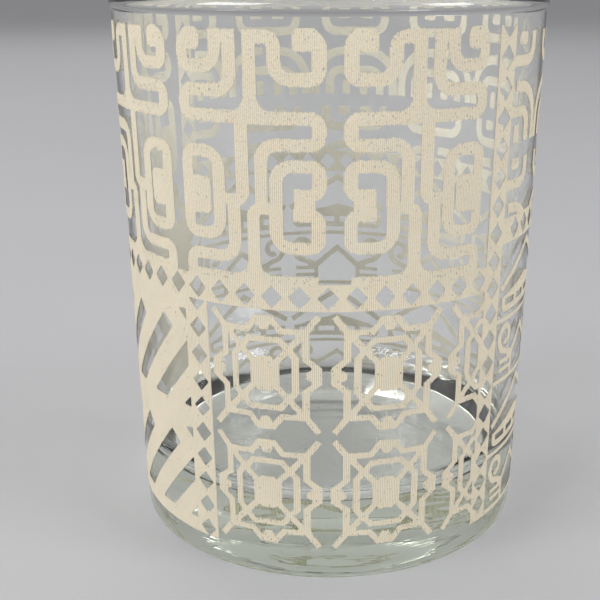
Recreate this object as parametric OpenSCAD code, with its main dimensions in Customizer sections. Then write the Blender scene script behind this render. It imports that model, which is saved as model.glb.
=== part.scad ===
// Rocks glass: a heavy-based tumbler with a rolled rim, and a white frosted ornament fired onto its wall.
// Millimetres, +Z up. The origin is the centre of the ring that the glass stands on.
// Places round the wall are arc lengths on its outside, counted from the front (-Y) and growing towards +X.

/* [Glass] */
// Outside diameter of the wall
glass_d = 82; // [76:0.5:92]
// Height from the standing ring to the top of the rim
glass_h = 105; // [103:0.5:115]
// Thickness of the wall
wall_t = 2.4; // [1.8:0.1:3.4]
// Thickness of the solid base, from the table to the inside floor
base_t = 14.5; // [10:0.5:20]
// Radius between the inside floor and the wall
floor_r = 8; // [4:0.5:10]
// Radius of the heel, the outside bottom edge
heel_r = 1.5; // [1:0.25:3]
// How far the rolled bead at the rim stands out from the wall
bead_out = 0.4; // [0.2:0.05:0.8]
// Straight height between the two rounds of the bead
bead_flat = 0.3; // [0.1:0.1:1.5]
// Width of the flat ring that the glass stands on
ring_w = 6; // [3:0.5:10]
// Depth of the hollow under the base
hollow_t = 1.2; // [0.5:0.1:2]

/* [Print] */
// Thickness of the fired-on print
print_t = 0.15; // [0.1:0.01:0.3]
// Clear height between the rim bead and the print
top_gap = 1.3; // [0.5:0.1:2]
// Height of the lower edge of the print
print_z = 5.7; // [5.2:0.1:6.5]
// Height of the lower edge of the front diamond band
band_z = 54.8; // [53:0.2:56]
// Height of the lower edge of the rear diamond band
rear_band_z = 62.7; // [61:0.2:64]
// Width of the diamond bands and posts
band_w = 4.8; // [4.4:0.1:5.2]
// Distance from one diamond to the next in a band
band_pitch = 4.92; // [4.7:0.02:5.4]
// Distance from one diamond to the next in a full-height post
post_pitch = 5.06; // [4.7:0.02:5.4]
// Distance from one diamond to the next in the inner post
inner_pitch = 5.24; // [4.7:0.02:5.4]
// Width of a diamond
diamond_w = 3.8; // [3.2:0.1:4.2]
// Height of a diamond
diamond_h = 4; // [3.4:0.1:4.2]
// From the end of a band to the middle of its first diamond
band_lead = 1.9; // [1.5:0.1:4]
// Arc from the front to the middle of the right post
right_post_s = 33.7; // [32:0.1:36]
// Arc from the front to the middle of the inner post, on the left
inner_post_s = 25.2; // [24:0.1:27]

/* [Scroll panel] */
// Number of scroll pairs side by side
scroll_pairs = 4; // [3:1:4]
// Clear margin beside the outer scrolls
scroll_margin = 1.3; // [0.8:0.1:2]
// Arc from the seam of an open scroll to its stem
open_w = 13.85; // [13.4:0.05:14.4]
// Arc from the stem to the seam of a closed scroll
closed_w = 15.15; // [14.8:0.05:15.6]
// Width of the scroll lines
line_w = 2.35; // [2:0.05:2.5]
// Clear width of a seam between two scrolls
seam_w = 2.7; // [2.2:0.1:3.2]
// Inside radius of the tight turns
turn_r = 0.35; // [0.2:0.05:0.5]
// Inside radius of the wide bends
bend_r = 1.5; // [1:0.1:1.8]
// Radius where a stem meets the foot of the panel and the hook bar
stem_r = 2.6; // [1.5:0.1:3]
// Height of the upper scrolls, between the middles of their bars
upper_h = 6.4; // [6:0.1:6.8]
// Height of the hook bar above the foot of the panel
hook_z = 27.5; // [27:0.1:28]
// Height of the hook, between the middles of its bars
hook_h = 4.2; // [4:0.1:4.6]
// Height of the bar that links the scrolls to the lower stem
link_z = 12.8; // [12.4:0.1:13.2]
// Height of the foot strip
foot_h = 1.5; // [1:0.1:2]
// Length of the tips of an open scroll
tip_l = 4.3; // [3.8:0.1:4.6]
// Thickness of the tips of the upper scrolls
tip_t = 3.5; // [2.8:0.1:3.8]
// Radius of the corners of these tips
tip_r = 0.9; // [0.6:0.1:1.1]
// Distance from the stem to the inner side of an open scroll
open_gap = 4.1; // [3.9:0.05:4.3]
// Sideways step of the stem under the hook, towards the open scroll
stem_step = 1.55; // [1.4:0.05:1.7]
// Sideways step of the side stem, towards the closed scroll
side_step = 1.75; // [1.6:0.05:1.9]
// Distance from the stem to the outer turn of a closed scroll
ring_gap = 3.5; // [3.3:0.05:3.7]
// Distance from the stem to the inner turn of a closed scroll
core_gap = 6.1; // [5.9:0.05:6.3]
// Distance from the stem to the tip and the core of a closed scroll
core_reach = 9; // [8.8:0.05:9.4]
// Height of the inner turn of an upper closed scroll, between the middles of its bars
nested_h = 4.7; // [4.4:0.1:4.8]
// Height of the outer turn of an upper closed scroll, between the middles of its bars
outer_h = 8.3; // [8:0.1:8.5]
// Height of the lower bar of the loops above the foot of the panel
loop_z = 6.3; // [6:0.1:6.5]
// Height of the loops, between the middles of their bars
loop_h = 13.6; // [13.4:0.1:13.8]
// Rise of the upper tip of the loops over the link bar
tip_rise = 2.4; // [2.2:0.1:2.5]
// Drop of the lower tip of the loops under the link bar
tip_drop = 0.9; // [0.8:0.1:1]
// Height of the lower bar of the inner turn above the foot of the panel
core_z = 7.8; // [7.6:0.1:8]
// Height of the inner turn, between the middles of its bars
core_h = 13.9; // [13.7:0.1:14]
// Rise of the middle of the core over the link bar
core_rise = 1.5; // [1.3:0.1:1.7]
// Half height of the core
core_half = 3.3; // [3:0.1:3.5]
// Size of the cut corners of the core
core_cut = 0.8; // [0.5:0.1:1]
// Height of the lower bar of the outer turn above the foot of the panel
ring_z = 4.1; // [4:0.1:4.2]

/* [Tile panel] */
// Distance from one tile to the next along the wall
tile_pitch = 22.4; // [22:0.1:23]
// Height of a row of tiles, and of a row of bars beside them
tile_row = 24; // [23.6:0.1:24.4]
// Half width of a tile out to the tips of its corner rays
tip_w = 9.9; // [9.2:0.1:10.4]
// Half height of a tile out to the tips of its corner rays
tip_h = 11.2; // [10.4:0.1:11.4]
// Half width of the tile frame
frame_w = 7.55; // [7.2:0.05:7.8]
// Half height of the tile frame
frame_h = 8.2; // [7.8:0.1:8.6]
// How far the frame bulges in the middle of each side
bulge_out = 2.2; // [1.8:0.1:2.4]
// Half width of a bulge at its top
bulge_half = 1.35; // [1.1:0.05:1.5]
// Half width of a bulge at its foot
bulge_foot = 3.1; // [2.8:0.1:3.4]
// Half width of the inner eight-sided ring
ring_half_w = 5.7; // [5.4:0.1:5.9]
// Half height of the inner eight-sided ring
ring_half_h = 6.5; // [6.2:0.1:6.7]
// Half width of the flower in the middle
flower_w = 2.7; // [2.2:0.1:3]
// Half height of the flower in the middle
flower_h = 3.4; // [2.8:0.1:3.8]
// Width of the tile lines
tile_line = 1.3; // [1:0.05:1.4]

/* [Bar panel] */
// Distance from one slanted bar to the next
bar_pitch = 10.2; // [9:0.1:12]
// Width of a clear bar along the wall
bar_w = 4.6; // [4:0.1:5.5]
// Rise of a clear bar
bar_rise = 17.4; // [15:0.2:18.5]
// Slope of the bars, in degrees from level
bar_slope = 48; // [46:1:56]
// White height under the bars of a row
bar_margin = 2.1; // [1.6:0.1:3]
// Size of the small clear corners at the right of each row
bar_nick = 2; // [1.4:0.1:2.4]

/* [Far side] */
// Number of hook units
hook_units = 6; // [5:1:6]
// Number of volute units
volute_units = 5; // [4:1:5]
// Width of the hook lines
hook_line = 2; // [1.6:0.1:2.2]
// Distance from a hook bar down to the arch, and from the arch to the one inside it
hook_step = 4.25; // [4.1:0.05:4.4]
// Width of the volute lines
volute_line = 1.4; // [1.2:0.1:1.5]
// Width of the lines of combs and leaf veins
thin_line = 1; // [0.8:0.1:1.1]
// Radius of a volute, to the middle of its line at its outer end
volute_r = 3; // [2.9:0.1:3.3]
// Radius of a volute, to the middle of its line at its inner end
volute_eye = 0.95; // [0.9:0.05:1.1]
// Turns of a volute
volute_turns = 1.1; // [0.8:0.1:1.1]
// Height of the comb under a volute
comb_h = 3.6; // [3.2:0.1:4]
// Height of the leaf above a volute
leaf_h = 5.2; // [4.4:0.1:5.6]
// Clear width between two slanted roofs
roof_gap = 1.4; // [0.8:0.1:2]

/* [Hidden] */
$fn = 96;
// Straight steps in a quarter bend of a drawn line
bend_steps = 6;
// Reach of a cut past the surface that it cuts
past = 1;
// Overlap of two drawn shapes that join
lap = 0.1;
// Place of the middle of the drawing that is being made, in its own arc lengths
$mid = 0;

wall_r = glass_d / 2;
inner_r = wall_r - wall_t;
bead_r = (wall_t + bead_out) / 2;
bead_h = 2 * bead_r + bead_flat;
hollow_w = wall_r - heel_r - ring_w;
hollow_r = (hollow_w * hollow_w + hollow_t * hollow_t) / (2 * hollow_t);

print_top = glass_h - bead_h - top_gap;
panel_z = band_z + band_w;
round_wall = PI * glass_d;
field_r = right_post_s - band_w / 2;
pair_w = open_w + closed_w;
field_l = field_r - scroll_pairs * pair_w - 2 * scroll_margin;
far_l = right_post_s + band_w / 2;
far_r = round_wall + field_l - band_w;
hook_unit = (far_r - far_l) / hook_units;
volute_unit = (far_r - far_l) / volute_units;
left_post_s = field_l - band_w / 2;
bar_run = bar_rise / tan(bar_slope);
// How far the wall curves away over the widest drawing, and a little more
cell_depth = wall_r * (1 - cos(turn(max(pair_w / 2, bar_run + bar_w, volute_unit / 2)))) + past;

// Columns of the open scroll, from its seam
open_in = seam_w / 2 + line_w / 2;
open_tip = open_in + tip_l;
open_out = open_w - open_gap;
hook_out = open_w - stem_step;
// Columns of the closed scroll, from the seam of the open one
closed_out = pair_w - seam_w / 2 - line_w / 2;
side_stem = open_w + side_step;
ring_in = open_w + ring_gap;
core_in = open_w + core_gap;
core_tip = open_w + core_reach;
core_end = core_tip - line_w / 2;
// Rows of the upper scrolls and the hooks
top_bar = print_top - line_w / 2;
upper_bar = top_bar - upper_h;
nested_bar = top_bar - nested_h;
outer_bar = top_bar - outer_h;
hook_bar = panel_z + hook_z;
hook_low = hook_bar - hook_h;
// Rows of the lower scrolls
link_bar = panel_z + link_z;
tip_high = link_bar + tip_rise;
tip_low = link_bar - tip_drop;
loop_low = panel_z + loop_z;
loop_top = loop_low + loop_h;
core_mid = link_bar + core_rise;
core_low = panel_z + core_z;
core_top = core_low + core_h;
ring_top = link_bar + line_w / 2;
ring_low = panel_z + ring_z;
// Heights of the parts of a row of volutes above its lower edge
volute_tail = thin_line + comb_h + 1.5 * volute_line;
volute_bar = volute_tail + 2 * volute_r + volute_line / 2;
volute_leaf = volute_bar + 1.5 * volute_line;
volute_row = (rear_band_z - print_z) / 2;

// Angle of an arc length on the wall
function turn(s) = s * 180 / (PI * wall_r);

// Flat offset that an arc length spans when it is looked at straight on
function flat(s) = wall_r * sin(turn(s));

function unit(v) = v / norm(v);

// Rounds the corner b of the path a, b, c
function bend(a, b, c, r) =
    let (u = unit(a - b),
         v = unit(c - b),
         half = acos(u * v) / 2,
         centre = b + unit(u + v) * r / sin(half),
         start = b + u * r / tan(half) - centre,
         from = atan2(start[1], start[0]),
         sweep = (180 - 2 * half) * (cross(u, v) < 0 ? 1 : -1))
    [for (k = [0 : bend_steps])
        centre + r * [cos(from + sweep * k / bend_steps), sin(from + sweep * k / bend_steps)]];

// Place of a corner, without its radius
function spot(c) = [c[0], c[1]];

// Points of a line of width w through corners [x, z, inside radius], with radius 0 for a sharp corner
function path(c, w) =
    [for (i = [0 : len(c) - 1])
        each i == 0 || i == len(c) - 1 || c[i][2] == 0
            ? [spot(c[i])]
            : bend(spot(c[i - 1]), spot(c[i]), spot(c[i + 1]), c[i][2] + w / 2)];

// Step from the point i of a path to the edge of its line, for a half width of 1
function mitre(p, i) =
    let (a = max(i, 1),
         b = min(i, len(p) - 2),
         d0 = unit(p[a] - p[a - 1]),
         d1 = unit(p[b + 1] - p[b]),
         n0 = [-d0[1], d0[0]],
         n1 = [-d1[1], d1[0]])
    (n0 + n1) / (1 + n0 * n1);

function outline(p, w) =
    concat([for (i = [0 : len(p) - 1]) p[i] + mitre(p, i) * w / 2],
           [for (i = [len(p) - 1 : -1 : 0]) p[i] - mitre(p, i) * w / 2]);

// Points of an arc about c
function arc(c, r, from, to, steps) =
    [for (k = [0 : steps])
        let (a = from + (to - from) * k / steps)
        c + r * [cos(a), sin(a)]];

// A flat shape of the print
module ink(points) {
    polygon([for (p = points) [flat(p[0] - $mid), p[1]]]);
}

module line(corners, w) {
    ink(outline(path(corners, w), w));
}

module box(x0, x1, z0, z1) {
    ink([[x0, z0], [x0, z1], [x1, z1], [x1, z0]]);
}

// A box with corners of radius r
module pad(x0, x1, z0, z1, r) {
    left = x0 + r;
    right = x1 - r;
    low = z0 + r;
    high = z1 - r;
    ink(concat(arc([left, low], r, 270, 180, bend_steps), arc([left, high], r, 180, 90, bend_steps),
               arc([right, high], r, 90, 0, bend_steps), arc([right, low], r, 0, -90, bend_steps)));
}

// Thin skin on the wall, over the arc from s0 to s1
module skin(s0, s1, z0, z1) {
    rotate([0, 0, turn(s0) - 90])
        rotate_extrude(angle = turn(s1 - s0))
            translate([wall_r, z0])
                square([print_t, z1 - z0]);
}

// A flat drawing pushed outwards through the print, with its middle at the arc length s
module through_print(s) {
    rotate([0, 0, turn(s)])
        translate([0, cell_depth - wall_r, 0])
            rotate([90, 0, 0])
                linear_extrude(height = cell_depth + print_t + past)
                    children();
}

// The part of a drawing about the arc length s that lies on the skin from s0 to s1
module printed(s, s0, s1, z0, z1) {
    intersection() {
        skin(s0, s1, z0, z1);
        through_print(s)
            children();
    }
}

module diamond() {
    polygon([[flat(diamond_w / 2), 0], [0, diamond_h / 2], [-flat(diamond_w / 2), 0], [0, -diamond_h / 2]]);
}

// Level row of clear diamonds in a white strip, counted from its end at s1
module diamond_row(s0, s1, z) {
    count = floor((s1 - s0 - band_lead - diamond_w / 2) / band_pitch);
    difference() {
        skin(s0, s1, z, z + band_w);
        for (i = [0 : count])
            through_print(s1 - band_lead - i * band_pitch)
                translate([0, z + band_w / 2])
                    diamond();
    }
}

// Upright row of clear diamonds in a white strip, with half a diamond at its top
module diamond_post(s, z0, z1, pitch) {
    count = floor((z1 - z0 - diamond_h / 3) / pitch);
    difference() {
        skin(s - band_w / 2, s + band_w / 2, z0, z1);
        through_print(s)
            for (i = [0 : count])
                translate([0, z1 - lap - i * pitch])
                    diamond();
    }
}

module open_scroll() {
    // Upper scroll, stem and hook in one line
    line([[open_tip - tip_r, top_bar, 0], [open_in, top_bar, turn_r], [open_in, upper_bar, turn_r],
          [open_out, upper_bar, bend_r], [open_out, top_bar, turn_r], [open_w, top_bar, 0],
          [open_w, hook_bar, 0], [open_in, hook_bar, turn_r], [open_in, hook_low, turn_r],
          [hook_out, hook_low, bend_r], [hook_out, link_bar, 0]], line_w);
    // The two loops of the lower scroll, whose tips join
    line([[open_tip, tip_high, 0], [open_in, tip_high, turn_r],
          [open_in, loop_top, turn_r], [open_out, loop_top, bend_r], [open_out, link_bar - lap, 0]], line_w);
    line([[open_tip + lap, tip_low, 0], [open_in + lap, tip_low, turn_r],
          [open_in + lap, loop_low, turn_r], [open_out + lap, loop_low, bend_r],
          [open_out + lap, link_bar, 0], [open_w, link_bar, turn_r], [open_w, panel_z - past, 0]], line_w);
    box(open_in + line_w / 4, open_tip - lap, tip_low, tip_high);
    pad(open_in, open_tip, print_top - tip_t, print_top + lap, tip_r);
}

// Strip along the foot of a pair, and the fillets of the stems
module stem_feet() {
    box(seam_w, closed_out, panel_z - past, panel_z + foot_h);
    flare(panel_z + foot_h);
    flare(hook_bar + line_w / 2);
}

// Widens a stem where it meets the bar whose top is at z
module flare(z) {
    half = line_w / 2 + stem_r - lap;
    right = arc([open_w + half, z + stem_r - lap], stem_r, 180, 270, bend_steps);
    left = arc([open_w - half, z + stem_r - lap], stem_r, 270, 360, bend_steps);
    ink(concat(right, [[open_w + half, z - foot_h / 2], [open_w - half, z - foot_h / 2]], left));
}

module closed_scroll() {
    // From the tip of the upper scroll round its two turns to the hook bar
    line([[core_tip + tip_r, top_bar, 0], [closed_out, top_bar, turn_r], [closed_out, nested_bar, turn_r],
          [core_in, nested_bar, bend_r], [core_in, top_bar, 0], [ring_in, top_bar, 0],
          [ring_in, outer_bar, bend_r], [closed_out, outer_bar, turn_r], [closed_out, hook_bar, turn_r],
          [open_w, hook_bar, 0]], line_w);
    pad(core_tip, closed_out, print_top - tip_t, print_top + lap, tip_r);
    // Side stem, and the outer turn of the lower scroll
    line([[side_stem, hook_bar, 0], [side_stem, ring_top, turn_r], [core_in, ring_top, 0]], line_w);
    line([[ring_in, ring_top, 0], [ring_in, ring_low, bend_r], [closed_out, ring_low, turn_r],
          [closed_out, panel_z - past, 0]], line_w);
    // Inner turn of the lower scroll, and the core that closes it
    line([[closed_out, core_mid + lap, 0], [closed_out, core_top, turn_r], [core_in + lap, core_top, bend_r],
          [core_in + lap, core_low, bend_r], [closed_out, core_low, turn_r],
          [closed_out, core_mid - lap, 0]], line_w);
    ink([[closed_out, core_mid - core_half], [core_end + core_cut, core_mid - core_half],
         [core_end, core_mid - core_half + core_cut], [core_end, core_mid + core_half - core_cut],
         [core_end + core_cut, core_mid + core_half], [closed_out, core_mid + core_half]]);
}

module scroll_panel() {
    color("ivory")
        for (i = [0 : scroll_pairs - 1])
            let (s0 = field_l + scroll_margin + i * pair_w, $mid = pair_w / 2)
            printed(s0 + pair_w / 2, s0, s0 + pair_w, panel_z, print_top + top_gap / 2)
                mirror([1 - i % 2, 0]) {
                    open_scroll();
                    closed_scroll();
                    stem_feet();
                }
}

module front_band() {
    color("ivory")
        diamond_row(field_l, field_r, band_z);
}

module rear_band() {
    color("ivory")
        diamond_row(far_l, far_r, rear_band_z);
}

module right_post() {
    color("ivory")
        diamond_post(right_post_s, print_z, print_top, post_pitch);
}

module left_post() {
    color("ivory")
        diamond_post(left_post_s, print_z, print_top, post_pitch);
}

module inner_post() {
    color("ivory")
        diamond_post(-inner_post_s, print_z, band_z, inner_pitch);
}

// One slanted clear bar, drawn about the middle of its foot, cut square at its head
module clear_bar(clip) {
    head = bar_w * sin(bar_slope) * [sin(bar_slope), -cos(bar_slope)];
    intersection() {
        ink([[-bar_w / 2, 0], [bar_w / 2, 0], [bar_run - bar_w / 2 + head[0], bar_rise + head[1]],
             [bar_run - bar_w / 2, bar_rise]]);
        box(-clip, clip, -past, bar_rise + past);
    }
}

// Small clear corner, drawn about its upright edge
module clear_nick() {
    polygon([[0, 0], [-bar_nick, 0], [0, bar_nick]]);
}

module bar_panel() {
    right = -inner_post_s - band_w / 2;
    count = floor((right - field_l - bar_margin) / bar_pitch);
    color("ivory")
        difference() {
            skin(field_l, right, print_z, band_z);
            for (row = [1, 2])
                let (z = band_z - row * tile_row + bar_margin) {
                    for (i = [1 : count])
                        through_print(right - i * bar_pitch)
                            translate([0, z])
                                clear_bar(i * bar_pitch - bar_margin / 4);
                    through_print(right - bar_margin / 4)
                        translate([0, z])
                            clear_nick();
                    through_print(right - bar_margin / 4)
                        translate([0, z + bar_rise + bar_nick])
                            mirror([0, 1])
                                clear_nick();
                }
        }
}

// Outline of one side of a tile frame: along the side, out to the bulge and back, from corner to corner
function frame_side(half, at) =
    [[-half, at], [-bulge_foot, at], [-bulge_half, at + bulge_out], [bulge_half, at + bulge_out],
     [bulge_foot, at], [half, at]];

// Stud in the middle of a bulge, on its inside
function frame_stud(at) =
    [[-bulge_half, at + bulge_out], [bulge_half, at + bulge_out], [bulge_half, at + tile_line],
     [bulge_half / 2, at], [-bulge_half / 2, at], [-bulge_half, at + tile_line]];

function swapped(points) = [for (p = points) [p[1], p[0]]];

module tile() {
    // Corner rays and the eight-sided ring, a quarter at a time
    for (m = [0, 1], n = [0, 1])
        mirror([m, 0])
            mirror([0, n]) {
                line([[tip_w, tip_h, 0], [frame_w, frame_h, 0], [0, 0, 0]], tile_line);
                line([[ring_half_w, -past, 0], [ring_half_w, ring_half_h / 2, 0],
                      [ring_half_w / 2, ring_half_h, 0], [-past, ring_half_h, 0]], tile_line);
            }
    // Frame, a side at a time
    for (m = [0, 1]) {
        mirror([0, m]) {
            line([for (p = frame_side(frame_w, frame_h)) [p[0], p[1], 0]], tile_line);
            ink(frame_stud(frame_h));
        }
        mirror([m, 0]) {
            line([for (p = swapped(frame_side(frame_h, frame_w))) [p[0], p[1], 0]], tile_line);
            ink(swapped(frame_stud(frame_w)));
        }
    }
    ink([for (q = [[1, -1 / 2], [1, 1 / 2], [1 / 2, 1], [-1 / 2, 1], [-1, 1 / 2], [-1, -1 / 2],
                   [-1 / 2, -1], [1 / 2, -1]])
        [q[0] * flower_w, q[1] * flower_h]]);
}

module tile_panel() {
    left = -inner_post_s + band_w / 2;
    count = ceil((field_r - left) / tile_pitch);
    color("ivory")
        for (i = [0 : count - 1], row = [0, 1])
            let (s = left + (i + 0.5) * tile_pitch, z = band_z - (row + 0.5) * tile_row)
            printed(s, left, field_r, print_z, band_z)
                translate([0, z])
                    tile();
}

// Line through the points on one side of a unit, from its middle outwards, and through their mirror images
module paired(half, w) {
    other = [for (i = [len(half) - 1 : -1 : 0]) [-half[i][0], half[i][1], half[i][2]]];
    line(concat(other, half), w);
}

// One unit of the hooks above z, in rows from the top of the print down
module hooks(z) {
    half = hook_unit / 2;
    tip = half / 9;
    leg = 2 * half / 3;
    inner = leg - hook_line / 2;
    outer = half - hook_line / 2 - lap;
    wide_r = min(0.8 * (outer - tip), 1.9 * hook_step) - hook_line / 2;
    row_h = 5 * hook_step;
    for (row = [0 : ceil((print_top - z) / row_h) - 1])
        let (bar = print_top - 1.4 * hook_step - row * row_h,
             rise = bar + 1.1 * hook_step,
             arch = bar - hook_step,
             core = arch - hook_step,
             end = arch - 2.3 * hook_step) {
            // Hook that opens upwards, and the inner arch
            paired([[leg, bar, bend_r], [leg, rise, 0]], hook_line);
            paired([[inner, core, bend_r], [inner, end, 0]], hook_line);
            // Pads in the hook and in the inner arch, and the two arms of the outer arch
            for (m = [0, 1])
                mirror([m, 0]) {
                    pad(tip, tip + 1.5 * hook_line, bar + 0.6 * hook_step, rise, tip_r / 2);
                    pad(tip, tip + hook_line, end, core - hook_step / 2, tip_r / 2);
                    line([[tip, arch, 0], [outer, arch, wide_r], [outer, end, 0]], hook_line);
                }
        }
}

module hook_panel() {
    z = rear_band_z + band_w;
    color("ivory")
        for (i = [0 : hook_units])
            let (s = far_l + i * hook_unit)
            printed(s, max(s - hook_unit / 2, far_l), min(s + hook_unit / 2, far_r), z, print_top)
                hooks(z);
}

// Points that wind out from the eye of a volute about c and leave it at its lowest point
function volute(c) =
    let (steps = 5 * bend_steps)
    [for (k = [0 : steps])
        let (f = k / steps, a = -90 - 360 * volute_turns * (1 - f))
        c + (volute_eye + (volute_r - volute_eye) * f) * [cos(a), sin(a)]];

// One unit of the volutes, in the row above z
module volutes(z) {
    half = volute_unit / 2;
    edge = half - 1.4 * volute_line;
    knee = 0.43 * half;
    tail = z + volute_tail;
    leaf = z + volute_leaf;
    eave = leaf + leaf_h / 2;
    left = volute([volute_r + 0.75 * volute_line - half, tail + volute_r]);
    right = [for (i = [len(left) - 1 : -1 : 0]) [-left[i][0], left[i][1]]];
    fold = [[-knee, tail - volute_line], [0, tail + volute_r], [knee, tail - volute_line]];
    foot = z + lap + thin_line / 2;
    // Pair of volutes on a folded tail, which stands on two combs on a bar
    ink(outline(concat(left, fold, right), volute_line));
    line([[lap - half, foot, 0], [half - lap, foot, 0]], thin_line);
    for (m = [0, 1])
        mirror([m, 0]) {
            line([[knee, foot, 0], [knee, tail - volute_line, 0]], thin_line);
            for (k = [1, 2])
                line([[knee, z + thin_line + k * comb_h / 2, 0],
                      [edge, z + thin_line + k * comb_h / 2, 0]], thin_line);
        }
    // Leaf with clear windows, and the slanted roof over it
    paired([[edge, leaf, turn_r], [edge, eave, 0]], volute_line);
    ink([[volute_line / 2 - edge, eave - volute_line / 2], [-edge, eave], [0, leaf + leaf_h], [edge, eave],
         [edge - volute_line / 2, eave - volute_line / 2]]);
    for (x = [-knee, 0, knee])
        line([[x, leaf, 0], [x, eave, 0]], volute_line);
    line([[roof_gap / 2 - half, leaf + leaf_h - thin_line, 0], [0, z + volute_row - volute_line, 0],
          [half - roof_gap / 2, leaf + leaf_h - thin_line, 0]], volute_line);
}

module volute_panel() {
    color("ivory")
        for (row = [0, 1])
            let (z = print_z + row * volute_row) {
                for (i = [0 : volute_units - 1])
                    let (s = far_l + i * volute_unit)
                    printed(s + volute_unit / 2, s, s + volute_unit, z, z + volute_row)
                        volutes(z);
                skin(far_l, far_r, z + volute_bar - thin_line / 2, z + volute_bar + thin_line / 2);
            }
}

// Half section of the outside, from the axis to the bead
module outside() {
    translate([0, heel_r])
        square([wall_r, glass_h - heel_r - bead_h / 2]);
    square([wall_r - heel_r, heel_r]);
    translate([wall_r - heel_r, heel_r])
        circle(heel_r);
    translate([inner_r, glass_h - bead_r - bead_flat])
        square([2 * bead_r, bead_flat]);
    for (z = [glass_h - bead_r, glass_h - bead_r - bead_flat])
        translate([inner_r + bead_r, z])
            circle(bead_r);
}

// Half section of the room inside, open at the top
module inside() {
    translate([0, base_t + floor_r])
        square([inner_r, glass_h]);
    translate([0, base_t])
        square([inner_r - floor_r, glass_h]);
    translate([inner_r - floor_r, base_t + floor_r])
        circle(floor_r);
}

module tumbler() {
    color("lightcyan", 0.4)
        rotate_extrude()
            intersection() {
                square([glass_d, glass_h + past]);
                difference() {
                    outside();
                    inside();
                    translate([0, hollow_t - hollow_r])
                        circle(hollow_r);
                }
            }
}

tumbler();
scroll_panel();
front_band();
bar_panel();
inner_post();
tile_panel();
right_post();
hook_panel();
rear_band();
volute_panel();
left_post();
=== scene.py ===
"""Rocks glass dressed for its portrait: a clear tumbler with a white raster print on its wall."""
import math
import random

import bmesh
import bpy
from bpy.props import FloatProperty, FloatVectorProperty, IntProperty, PointerProperty
from mathutils import Matrix, Vector
from mathutils.bvhtree import BVHTree


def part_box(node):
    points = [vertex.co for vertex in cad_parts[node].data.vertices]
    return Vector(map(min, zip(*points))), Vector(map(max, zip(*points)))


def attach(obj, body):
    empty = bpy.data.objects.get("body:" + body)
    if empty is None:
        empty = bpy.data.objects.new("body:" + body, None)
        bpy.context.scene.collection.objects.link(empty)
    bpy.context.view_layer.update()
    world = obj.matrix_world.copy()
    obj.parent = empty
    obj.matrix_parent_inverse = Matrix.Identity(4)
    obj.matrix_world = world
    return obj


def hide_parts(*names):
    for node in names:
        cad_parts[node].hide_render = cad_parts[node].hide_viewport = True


bl_info = {
    "name": "Rocks glass",
    "version": (1, 0, 0),
    "blender": (4, 5, 0),
    "location": "3D View > Sidebar > Rocks glass",
    "description": "Makes a heavy-based tumbler with a white raster print and a plain stage",
    "category": "Object",
}

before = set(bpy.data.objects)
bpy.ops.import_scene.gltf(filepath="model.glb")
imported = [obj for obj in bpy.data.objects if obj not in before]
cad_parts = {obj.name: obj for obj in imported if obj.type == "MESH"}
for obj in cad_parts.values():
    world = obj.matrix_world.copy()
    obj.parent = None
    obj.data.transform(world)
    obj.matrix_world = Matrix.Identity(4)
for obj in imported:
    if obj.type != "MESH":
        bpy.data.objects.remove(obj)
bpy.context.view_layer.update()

# Each field of the print: the solid that it follows, the name of the piece, and how worn its edges are
PRINT_FIELDS = (
    ("scroll_panel", "print_scrolls", 1.0),
    ("front_band", "print_front_band", 0.4),
    ("bar_panel", "print_bars", 0.5),
    ("inner_post", "print_inner_post", 0.3),
    ("tile_panel", "print_tiles", 0.8),
    ("right_post", "print_right_post", 0.5),
    ("hook_panel", "print_hooks", 0.7),
    ("rear_band", "print_rear_band", 0.5),
    ("volute_panel", "print_volutes", 0.5),
    ("left_post", "print_left_post", 0.5),
)

# Faces round the glass, and the angle from which an edge of it is sharp
TURN_STEPS = 240
CREASE = math.radians(18)
# Start of the random bubbles, the least and greatest radius, and the shares of the base's area and height
BUBBLE_SEED = 3
BUBBLE_RADII = (0.00008, 0.0003)
BUBBLE_AREA = (0.02, 0.8)
BUBBLE_HEIGHT = (0.2, 0.9)
# How the mould draws out the streaks round the base, and the heights between which they fade
STREAK_DRAW = (90.0, 90.0, 1100.0)
STREAK_FADE = (0.004, 0.015)

# Length of one dash of the print's grain, and the heights between which its lines fade into sand
DASH = 0.0005
SAND_FADE = (0.055, 0.090)
UP = Vector((0.0, 0.0, 1.0))
# A length too small to see
HAIR = 0.00002
# Slits narrower than this fill up when the frit is fired
SLIT = 0.0003
# Height over the wall at which upright lines probe the solids, and how far they reach past a field
PROBE = 0.00007
REACH = 0.001
# Step past a face that a line has met
STEP_ON = 1e-6
# In strip widths: the shortest strip that has pits, and the least and greatest height of a pit
PITTED = 6
BITE = (1, 2.5)
# Faces in a patch before it joins the skin, because small patches keep the operator quick
PATCH = 200
# The face's share of the skin's map, and where the underside's share starts beside it
FACE_SHARE = 0.9
UNDER_START = 0.91

# The floor lies a hair under the standing ring, so that the two faces don't lie in one plane
FLOOR_RADIUS = 8.0
FLOOR_DROP = 0.00005
# Point that the lamps look at
LAMP_AIM = Vector((0.0, 0.0, 0.05))
# Shift of the lens that sets its axis to the right of the picture's middle and below it
SHIFT = (-0.0483, 0.1333)


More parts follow.
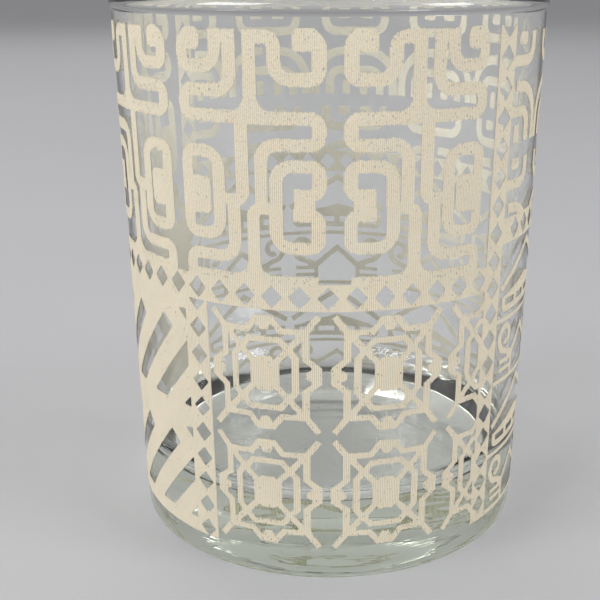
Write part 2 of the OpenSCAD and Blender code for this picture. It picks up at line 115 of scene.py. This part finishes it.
class GlassSizes(bpy.types.PropertyGroup):
    """Sizes and tint of the tumbler."""

    wall_radius: FloatProperty(
        name="Wall radius", description="Outside radius of the wall", default=0.041, unit="LENGTH")
    height: FloatProperty(
        name="Height", description="From the standing ring to the top of the rim", default=0.105,
        unit="LENGTH")
    wall: FloatProperty(name="Wall", description="Thickness of the wall", default=0.0024, unit="LENGTH")
    base: FloatProperty(
        name="Base", description="Thickness of the solid base", default=0.0145, unit="LENGTH")
    floor_radius: FloatProperty(
        name="Floor radius", description="Round between the inside floor and the wall", default=0.008,
        unit="LENGTH")
    heel_radius: FloatProperty(
        name="Heel radius", description="Round of the outside bottom edge", default=0.0015, unit="LENGTH")
    bead_out: FloatProperty(
        name="Bead", description="How far the rolled rim stands out from the wall", default=0.0004,
        unit="LENGTH")
    bead_flat: FloatProperty(
        name="Bead flat", description="Straight height between the two rounds of the rim", default=0.0003,
        unit="LENGTH")
    ring: FloatProperty(
        name="Standing ring", description="Width of the flat ring under the base", default=0.006,
        unit="LENGTH")
    hollow: FloatProperty(
        name="Hollow", description="Depth of the hollow under the base", default=0.0012, unit="LENGTH")
    seeds: IntProperty(name="Seeds", description="Number of small bubbles in the base", default=26)
    tint: FloatVectorProperty(
        name="Tint", description="Colour that a long way through the glass takes on", subtype="COLOR",
        default=(0.84, 0.92, 0.74))
    density: FloatProperty(
        name="Tint density", description="How soon the glass takes on its tint", default=9.0)


class PrintSizes(bpy.types.PropertyGroup):
    """Raster and colours of the print."""

    pitch: FloatProperty(
        name="Raster pitch", description="Distance from one raster line to the next", default=0.00034,
        unit="LENGTH")
    strip: FloatProperty(
        name="Strip width", description="Width of one strip of the skin", default=0.00017, unit="LENGTH")
    lift: FloatProperty(
        name="Lift", description="Height of the print's face above the wall", default=0.00011, unit="LENGTH")
    bond: FloatProperty(
        name="Bond", description="Height of the print's underside above the wall", default=0.00004,
        unit="LENGTH")
    wear: FloatProperty(
        name="Wear", description="How far a strip's end strays on the most worn field", default=0.00026,
        unit="LENGTH")
    pits: FloatProperty(
        name="Pits", description="Share of strips with a pit on the most worn field", default=0.26,
        subtype="FACTOR")
    seed: IntProperty(name="Seed", description="Start of the random raster faults", default=7)
    cream: FloatVectorProperty(
        name="Cream", description="Colour of a raster line", subtype="COLOR", default=(0.835, 0.748, 0.575))
    gap: FloatVectorProperty(
        name="Gap", description="Colour between two raster lines", subtype="COLOR",
        default=(0.38, 0.35, 0.27))
    # Darker than the cream: partly the frit's own duller back, partly painted shade, because the far wall's
    # print gets less light
    under: FloatVectorProperty(
        name="Underside", description="Colour of the print as it looks through the glass", subtype="COLOR",
        default=(0.58, 0.545, 0.46))


class StageSizes(bpy.types.PropertyGroup):
    """Floor, light and camera."""

    floor_colour: FloatVectorProperty(
        name="Floor", description="Colour of the floor", subtype="COLOR", default=(0.41, 0.41, 0.42))
    horizon: FloatVectorProperty(
        name="Horizon", description="Colour of the room at the level of the stage", subtype="COLOR",
        default=(0.24, 0.24, 0.25))
    zenith: FloatVectorProperty(
        name="Zenith", description="Colour of the room overhead", subtype="COLOR", default=(0.62, 0.62, 0.62))
    key_power: FloatProperty(
        name="Key light", description="Power of the light at the front left", default=14.0, unit="POWER")
    fill_power: FloatProperty(
        name="Fill light", description="Power of the light at the right", default=7.0, unit="POWER")
    back_power: FloatProperty(
        name="Back light", description="Power of the light behind the glass", default=10.0, unit="POWER")
    camera_back: FloatProperty(
        name="Camera distance", description="From the axis of the glass to the camera", default=0.1989,
        unit="LENGTH")
    camera_height: FloatProperty(
        name="Camera height", description="Height of the camera over the floor", default=0.1084,
        unit="LENGTH")
    camera_pitch: FloatProperty(
        name="Camera pitch", description="How far the camera looks down", default=math.radians(22.76),
        subtype="ANGLE")
    lens: FloatProperty(name="Lens", description="Focal length for a 36 mm film", default=58.1, unit="CAMERA")


class Socket:
    """Output of a shader node. Arithmetic on it adds Math nodes."""

    def __init__(self, finish, socket):
        self.finish = finish
        self.socket = socket

    def maths(self, operation, *values):
        """A Math node on these values."""
        return self.finish.value("ShaderNodeMath", {"operation": operation}, dict(enumerate(values)))

    def __add__(self, other):
        return self.maths("ADD", self, other)

    def __radd__(self, other):
        return self.maths("ADD", other, self)

    def __sub__(self, other):
        return self.maths("SUBTRACT", self, other)

    def __rsub__(self, other):
        return self.maths("SUBTRACT", other, self)

    def __mul__(self, other):
        return self.maths("MULTIPLY", self, other)

    def __rmul__(self, other):
        return self.maths("MULTIPLY", other, self)

    def __neg__(self):
        return self.maths("MULTIPLY", self, -1.0)


class Finish:
    """The nodes of a material or a world in the making."""

    def __init__(self, owner):
        self.owner = owner
        owner.use_nodes = True
        self.tree = owner.node_tree
        self.tree.nodes.clear()

    def add(self, kind, settings=None, inputs=None):
        """A node of this type, with its settings and then the values or links of its sockets."""
        node = self.tree.nodes.new(kind)
        for name, value in (settings or {}).items():
            setattr(node, name, value)
        for name, value in (inputs or {}).items():
            if isinstance(value, Socket):
                self.tree.links.new(value.socket, node.inputs[name])
            else:
                node.inputs[name].default_value = value
        return node

    def value(self, kind, settings=None, inputs=None, output=0):
        """One output of such a node."""
        return Socket(self, self.add(kind, settings, inputs).outputs[output])

    def place(self):
        """Place on the piece, in metres."""
        return self.value("ShaderNodeTexCoord", output="Object")

    def noise(self, vector, scale, detail):
        """Strength of a noise, about 0.5."""
        return self.value("ShaderNodeTexNoise", None, {"Vector": vector, "Scale": scale, "Detail": detail})

    def ease(self, value, start, end, low=0.0, high=1.0):
        """Smooth step from low at the start to high at the end."""
        return self.value("ShaderNodeMapRange", {"interpolation_type": "SMOOTHSTEP"}, {
            "Value": value, "From Min": start, "From Max": end, "To Min": low, "To Max": high})

    def blend(self, share, low, high):
        """Colour from low to high."""
        return self.value(
            "ShaderNodeMix", {"data_type": "RGBA"}, {"Factor": share, 6: low, 7: high}, output=2)

    def close(self, shader, volume=None):
        """Links the shader, and a volume if there is one, to the material's output."""
        inputs = {"Surface": Socket(self, shader.outputs[0])}
        if volume:
            inputs["Volume"] = Socket(self, volume.outputs[0])
        self.add("ShaderNodeOutputMaterial", None, inputs)
        return self.owner


def clear_glass(sizes):
    """Clear glass with a faint ripple, level streaks round its base, and a green tint where it is thick."""
    finish = Finish(bpy.data.materials.new("clear_glass"))
    place = finish.place()
    ripple = finish.noise(place, 70.0, 1.0)
    smear = finish.noise(place, 45.0, 4.0)
    # Streaks from the mould, much longer than they are high
    drawn = finish.value("ShaderNodeVectorMath", {"operation": "MULTIPLY"}, {0: place, 1: STREAK_DRAW})
    streak = finish.noise(drawn, 1.0, 2.0)
    z = finish.value("ShaderNodeSeparateXYZ", None, {"Vector": place}, output="Z")
    low = finish.ease(z, *STREAK_FADE, 1.0, 0.0)
    bump = finish.value("ShaderNodeBump", None, {
        "Strength": 0.25, "Distance": 0.0002, "Height": ripple + streak * low})
    shader = finish.add("ShaderNodeBsdfPrincipled", None, {
        "Base Color": (0.992, 0.994, 0.990, 1.0),
        "Roughness": smear * smear * 0.05,
        "IOR": 1.51,
        "Transmission Weight": 1.0,
        "Normal": bump,
    })
    volume = finish.add("ShaderNodeVolumeAbsorption", None, {
        "Color": (*sizes.tint, 1.0), "Density": sizes.density})
    # Lamps shine through to what stands behind the glass
    lamp = finish.value("ShaderNodeLightPath", output="Is Shadow Ray")
    passing = finish.value("ShaderNodeBsdfTransparent", None, {"Color": (0.965, 0.965, 0.96, 1.0)})
    surface = finish.add("ShaderNodeMixShader", None, {
        0: lamp, 1: Socket(finish, shader.outputs[0]), 2: passing})
    return finish.close(surface, volume)


def raster_frit(name, cream, sizes, wall_radius):
    """Pale frit in upright raster lines, with a sandy grain."""
    finish = Finish(bpy.data.materials.new(name))
    place = finish.place()
    parts = finish.add("ShaderNodeSeparateXYZ", None, {"Vector": place}).outputs
    x, y, z = (Socket(finish, parts[axis]) for axis in "XYZ")
    across = x.maths("ARCTAN2", x, -y) * (wall_radius / sizes.pitch)
    along = z * (1 / DASH)
    dash = finish.value("ShaderNodeCombineXYZ", None, {"X": across, "Y": along})
    grain = finish.noise(dash, 1.3, 2.0)
    cloud = finish.noise(place, 160.0, 3.0)
    # Dark gaps between the lines, deeper in some places than in others
    line = across.maths("PINGPONG", across, 0.5)
    groove = finish.ease(line, 0.26, 0.47)
    # Towards the rim the lines fade into sand
    sandy = finish.ease(z, *SAND_FADE)
    depth = groove * (0.15 + cloud) * (1.0 - 0.35 * sandy)
    lines = finish.blend(depth, (*cream, 1.0), (*sizes.gap, 1.0))
    sand = finish.value("ShaderNodeMapRange", None, {"Value": grain, "From Min": 0.42, "From Max": 0.75})
    colour = finish.blend(sand * (0.22 + 0.2 * sandy), lines, (*sizes.gap, 1.0))
    bump = finish.value("ShaderNodeBump", None, {
        "Strength": 0.6, "Distance": 0.00006, "Height": grain - groove})
    shader = finish.add("ShaderNodeBsdfPrincipled", None, {
        "Base Color": colour,
        "Roughness": 0.5 + grain * 0.4,
        "IOR": 1.5,
        "Normal": bump,
    })
    return finish.close(shader)


def pale_floor(colour):
    """Matt floor with a faint mottle."""
    finish = Finish(bpy.data.materials.new("pale_floor"))
    darker = [c * 0.94 for c in colour]
    mottle = finish.noise(finish.place(), 9.0, 3.0)
    shader = finish.add("ShaderNodeBsdfPrincipled", None, {
        "Base Color": finish.blend(mottle, (*darker, 1.0), (*colour, 1.0)),
        "Roughness": 0.55,
    })
    return finish.close(shader)


def soft_surround(horizon, zenith):
    """World that brightens from the horizon to the zenith."""
    finish = Finish(bpy.data.worlds.new("surround"))
    way = finish.value("ShaderNodeTexCoord", output="Generated")
    rise = finish.value("ShaderNodeSeparateXYZ", None, {"Vector": way}, output="Z")
    sky = finish.value("ShaderNodeBackground", None, {
        "Color": finish.blend(rise, (*horizon, 1.0), (*zenith, 1.0))})
    finish.add("ShaderNodeOutputWorld", None, {"Surface": sky})
    return finish.owner


class Profile:
    """Half section of a turned piece, drawn from point to point as edges in the XZ plane."""

    def __init__(self, x, z):
        self.mesh = bmesh.new()
        self.tip = self.mesh.verts.new((x, 0.0, z))

    def line(self, x, z):
        """Straight on to a point."""
        made = bmesh.ops.extrude_vert_indiv(self.mesh, verts=[self.tip])
        self.tip = made["verts"][0]
        self.tip.co = (x, 0.0, z)

    def arc(self, x, z, degrees, steps):
        """Round a centre, with turns from +Z to +X counted as positive."""
        made = bmesh.ops.spin(
            self.mesh, geom=[self.tip], cent=(x, 0.0, z), axis=(0.0, 1.0, 0.0),
            angle=math.radians(degrees), steps=steps)
        self.tip = [part for part in made["geom_last"] if isinstance(part, bmesh.types.BMVert)][0]

    def turned(self, steps):
        """The section turned once about Z, closed, with its faces outwards."""
        bmesh.ops.spin(
            self.mesh, geom=self.mesh.verts[:] + self.mesh.edges[:], cent=(0.0, 0.0, 0.0),
            axis=(0.0, 0.0, 1.0), angle=math.tau, steps=steps, use_merge=True)
        bmesh.ops.remove_doubles(self.mesh, verts=self.mesh.verts, dist=1e-7)
        bmesh.ops.recalc_face_normals(self.mesh, faces=self.mesh.faces)
        return self.mesh


def settle(mesh, name, node, slot, *materials):
    """Makes a piece of a bmesh, in the place of a node of the frame."""
    data = bpy.data.meshes.new(name)
    mesh.to_mesh(data)
    mesh.free()
    for material in materials:
        data.materials.append(material)
    piece = bpy.data.objects.new(name, data)
    bpy.context.scene.collection.objects.link(piece)
    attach(piece, "root")
    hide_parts(node)
    return piece


def glass_section(sizes):
    """Half section of the tumbler, from the hollow round the outside and the rim to the inside floor."""
    inner = sizes.wall_radius - sizes.wall
    bead = (sizes.wall + sizes.bead_out) / 2
    bead_x = inner + bead
    bead_low = sizes.height - bead - sizes.bead_flat
    under = math.acos((sizes.wall_radius - bead_x) / bead)
    flat = sizes.wall_radius - sizes.heel_radius - sizes.ring
    dome = (flat ** 2 + sizes.hollow ** 2) / (2 * sizes.hollow)
    # Hollow, standing ring and heel
    section = Profile(0.0, sizes.hollow)
    section.arc(0.0, sizes.hollow - dome, math.degrees(math.asin(flat / dome)), steps=12)
    section.line(sizes.wall_radius - sizes.heel_radius, 0.0)
    section.arc(sizes.wall_radius - sizes.heel_radius, sizes.heel_radius, -90, steps=12)
    # Outside of the wall, and the bead
    section.line(sizes.wall_radius, bead_low - bead * math.sin(under))
    section.arc(bead_x, bead_low, -math.degrees(under), steps=8)
    section.line(bead_x + bead, sizes.height - bead)
    section.arc(bead_x, sizes.height - bead, -180, steps=20)
    # Inside of the wall, and the floor
    section.line(inner, sizes.base + sizes.floor_radius)
    section.arc(inner - sizes.floor_radius, sizes.base + sizes.floor_radius, 90, steps=16)
    section.line(0.0, sizes.base)
    return section


def add_bubbles(mesh, sizes):
    """Puts small bubbles in the base. They are hollows, so their faces look into the air inside them."""
    chance = random.Random(BUBBLE_SEED)
    for _ in range(sizes.seeds):
        turn = chance.uniform(0, math.tau)
        far = sizes.wall_radius * math.sqrt(chance.uniform(*BUBBLE_AREA))
        high = chance.uniform(*BUBBLE_HEIGHT) * sizes.base
        spot = Matrix.Translation((far * math.cos(turn), far * math.sin(turn), high))
        made = bmesh.ops.create_icosphere(
            mesh, subdivisions=2, radius=chance.uniform(*BUBBLE_RADII), matrix=spot)
        faces = {face for vert in made["verts"] for face in vert.link_faces}
        for face in faces:
            face.smooth = True
        bmesh.ops.reverse_faces(mesh, faces=list(faces))


class MakeGlass(bpy.types.Operator):
    """Turns the tumbler from its half section and puts small bubbles in its base"""

    bl_idname = "rocks_glass.make_glass"
    bl_label = "Make glass"

    def execute(self, context):
        sizes = context.scene.rocks_glass
        mesh = glass_section(sizes).turned(TURN_STEPS)
        for face in mesh.faces:
            face.smooth = True
        for edge in mesh.edges:
            edge.smooth = edge.calc_face_angle(0.0) < CREASE
        add_bubbles(mesh, sizes)
        settle(mesh, "glass", "tumbler", "glass", clear_glass(sizes))
        return {"FINISHED"}


def solid_tree(node):
    """Search tree of the faces of a node."""
    solid = bmesh.new()
    solid.from_mesh(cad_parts[node].data)
    tree = BVHTree.FromBMesh(solid)
    solid.free()
    return tree


def crossings(tree, turn, radius, low, high):
    """Heights between which an upright line at this turn and radius lies in the solid."""
    spans = []
    start = None
    spot = Vector((radius * math.sin(turn), -radius * math.cos(turn), low))
    while True:
        place, normal, _, _ = tree.ray_cast(spot, UP, high - spot.z)
        if place is None:
            return spans
        if normal.z < 0:
            start = place.z
        elif start is not None:
            if spans and start - spans[-1][1] < SLIT:
                start, _ = spans.pop()
            spans.append((start, place.z))
            start = None
        spot.z = place.z + STEP_ON


def worn(low, high, field, sizes, wear, chance):
    """The lengths that are left of one strip once its free ends have strayed and a pit has taken a bite."""
    # Ends on the edge of the field stay straight, because the next field joins them there
    if low > field[0] + HAIR:
        low += chance.uniform(0, wear) * sizes.wear
    if high < field[1] - HAIR:
        high -= chance.uniform(0, wear) * sizes.wear
    length = high - low
    if chance.random() > sizes.pits * wear or length < PITTED * sizes.strip:
        return [(low, high)] if length > 0 else []
    bite = chance.uniform(*BITE) * sizes.strip
    # Pits crowd towards either end
    spot = low + chance.uniform(0, 1) ** 2 * (length - bite)
    if chance.random() < 0.5:
        spot = low + high - spot - bite
    return [(low, spot), (spot + bite, high)]


def lay_strips(node, wear, sizes, wall_radius):
    """The face of one field of the print, in upright strips."""
    tree = solid_tree(node)
    low, high = (corner.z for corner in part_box(node))
    count = round(math.tau * wall_radius / sizes.strip)
    chance = random.Random(sizes.seed)
    scrap = bpy.data.meshes.new("scrap")
    skin = bmesh.new()
    patch = bmesh.new()
    for k in range(count):
        turn = math.tau * (k + 0.5) / count
        for span in crossings(tree, turn, wall_radius + PROBE, low - REACH, high + REACH):
            for a, b in worn(*span, (low, high), sizes, wear, chance):
                spot = (Matrix.Rotation(turn, 4, "Z")
                        @ Matrix.Translation((0.0, -wall_radius - sizes.lift, (a + b) / 2))
                        @ Matrix.Rotation(math.pi / 2, 4, "X")
                        @ Matrix.Diagonal((sizes.strip / 2, (b - a) / 2, 1.0, 1.0)))
                bmesh.ops.create_grid(patch, x_segments=1, y_segments=1, size=1.0, matrix=spot)
        if len(patch.faces) > PATCH or k == count - 1:
            patch.to_mesh(scrap)
            skin.from_mesh(scrap)
            patch.clear()
    patch.free()
    bpy.data.meshes.remove(scrap)
    if not skin.faces:
        raise RuntimeError(f"the print found nothing on {node}")
    return skin


def add_underside(skin, shrink):
    """Backs the strips with their underside, which looks through the glass from the far wall. It takes the
    second, darker frit: partly the frit's own duller back, partly painted shade.
    """
    made = bmesh.ops.duplicate(skin, geom=skin.verts[:] + skin.edges[:] + skin.faces[:])["geom"]
    verts = [part for part in made if isinstance(part, bmesh.types.BMVert)]
    faces = [part for part in made if isinstance(part, bmesh.types.BMFace)]
    bmesh.ops.scale(skin, vec=(shrink, shrink, 1.0), verts=verts)
    bmesh.ops.reverse_faces(skin, faces=faces)
    for face in faces:
        face.material_index = 1


def unroll(skin):
    """Lays the skin's own map out as it would come off the wall, with the underside beside the face."""
    layer = skin.loops.layers.uv.new("OFBake")
    places = {}
    for face in skin.faces:
        middle = face.calc_center_median()
        turn = math.atan2(middle.x, -middle.y)
        sine, cosine = math.sin(turn), math.cos(turn)
        for loop in face.loops:
            x, y, z = loop.vert.co
            # Across the face the turn changes by a hair, also at the seam behind
            aside = math.atan2(x * cosine + y * sine, x * sine - y * cosine)
            places[loop] = (turn + aside, z)
    lows = [min(place[i] for place in places.values()) for i in (0, 1)]
    highs = [max(place[i] for place in places.values()) for i in (0, 1)]
    for loop, place in places.items():
        u, v = ((place[i] - lows[i]) / (highs[i] - lows[i]) for i in (0, 1))
        if loop.face.material_index:
            loop[layer].uv = (UNDER_START + (1 - UNDER_START) * u, v)
        else:
            loop[layer].uv = (FACE_SHARE * u, v)


class MakePrint(bpy.types.Operator):
    """Draws each field of the print in upright strips, as a thin skin over its solid"""

    bl_idname = "rocks_glass.make_print"
    bl_label = "Make print"

    def execute(self, context):
        sizes = context.scene.rocks_print
        wall_radius = context.scene.rocks_glass.wall_radius
        # The underside's frit is a darker copy of the face's: partly the frit's own duller back, partly
        # painted shade where the far wall gets less light
        frit = (
            raster_frit("raster_frit", sizes.cream, sizes, wall_radius),
            raster_frit("frit_underside_painted_shade", sizes.under, sizes, wall_radius),
        )
        shrink = (wall_radius + sizes.bond) / (wall_radius + sizes.lift)
        for node, name, wear in PRINT_FIELDS:
            skin = lay_strips(node, wear, sizes, wall_radius)
            add_underside(skin, shrink)
            unroll(skin)
            settle(skin, name, node, "frost", *frit)
        return {"FINISHED"}


def soft_light(name, power, size, place, mirrored=True):
    """Square lamp that looks at the middle of the glass, which mirrors it or doesn't."""
    lamp = bpy.data.lights.new(name, "AREA")
    lamp.energy = power
    lamp.shape = "SQUARE"
    lamp.size = size
    light = bpy.data.objects.new(name, lamp)
    light.location = place
    light.rotation_euler = (LAMP_AIM - Vector(place)).to_track_quat("-Z", "Y").to_euler()
    light.visible_glossy = mirrored
    light.visible_transmission = mirrored
    bpy.context.scene.collection.objects.link(light)


def lay_floor(colour):
    """Wide floor under the glass."""
    ground = bmesh.new()
    bmesh.ops.create_circle(
        ground, cap_ends=True, segments=96, radius=FLOOR_RADIUS,
        matrix=Matrix.Translation((0.0, 0.0, -FLOOR_DROP)))
    data = bpy.data.meshes.new("floor")
    ground.to_mesh(data)
    ground.free()
    data.materials.append(pale_floor(colour))
    floor = bpy.data.objects.new("floor", data)
    bpy.context.scene.collection.objects.link(floor)


class SetStage(bpy.types.Operator):
    """Lays the floor and sets the lights, the surround and the camera"""

    bl_idname = "rocks_glass.set_stage"
    bl_label = "Set stage"

    def execute(self, context):
        scene = context.scene
        stage = scene.rocks_stage
        lay_floor(stage.floor_colour)

        soft_light("key_light", stage.key_power, size=0.7, place=(-0.90, -0.62, 0.90))
        soft_light("fill_light", stage.fill_power, size=0.5, place=(0.95, -0.45, 0.60))
        soft_light(
            "back_light", stage.back_power, size=1.6, place=(-0.30, 1.10, 1.30), mirrored=False)
        scene.world = soft_surround(stage.horizon, stage.zenith)

        view = bpy.data.cameras.new("camera")
        view.lens = stage.lens
        view.sensor_width = 36.0
        view.shift_x, view.shift_y = SHIFT
        view.clip_start = 0.01
        camera = bpy.data.objects.new("camera", view)
        camera.location = (0.0, -stage.camera_back, stage.camera_height)
        camera.rotation_euler = (math.pi / 2 - stage.camera_pitch, 0.0, 0.0)
        scene.collection.objects.link(camera)
        scene.camera = camera
        scene.view_settings.view_transform = "Standard"
        return {"FINISHED"}


class RocksGlassPanel(bpy.types.Panel):
    """Sizes and steps of the glass"""

    bl_idname = "VIEW3D_PT_rocks_glass"
    bl_label = "Rocks glass"
    bl_space_type = "VIEW_3D"
    bl_region_type = "UI"
    bl_category = "Rocks glass"

    def draw(self, context):
        for group, operator in (
            (context.scene.rocks_glass, MakeGlass),
            (context.scene.rocks_print, MakePrint),
            (context.scene.rocks_stage, SetStage),
        ):
            column = self.layout.column(align=True)
            for name in group.bl_rna.properties.keys():
                if name not in ("rna_type", "name"):
                    column.prop(group, name)
            column.operator(operator.bl_idname)


CLASSES = (GlassSizes, PrintSizes, StageSizes, MakeGlass, MakePrint, SetStage, RocksGlassPanel)


def register():
    for kind in CLASSES:
        bpy.utils.register_class(kind)
    bpy.types.Scene.rocks_glass = PointerProperty(type=GlassSizes)
    bpy.types.Scene.rocks_print = PointerProperty(type=PrintSizes)
    bpy.types.Scene.rocks_stage = PointerProperty(type=StageSizes)


def unregister():
    del bpy.types.Scene.rocks_stage
    del bpy.types.Scene.rocks_print
    del bpy.types.Scene.rocks_glass
    for kind in reversed(CLASSES):
        bpy.utils.unregister_class(kind)


def main():
    register()
    bpy.ops.rocks_glass.make_glass()
    bpy.ops.rocks_glass.make_print()
    bpy.ops.rocks_glass.set_stage()


if __name__ == "__main__":
    main()
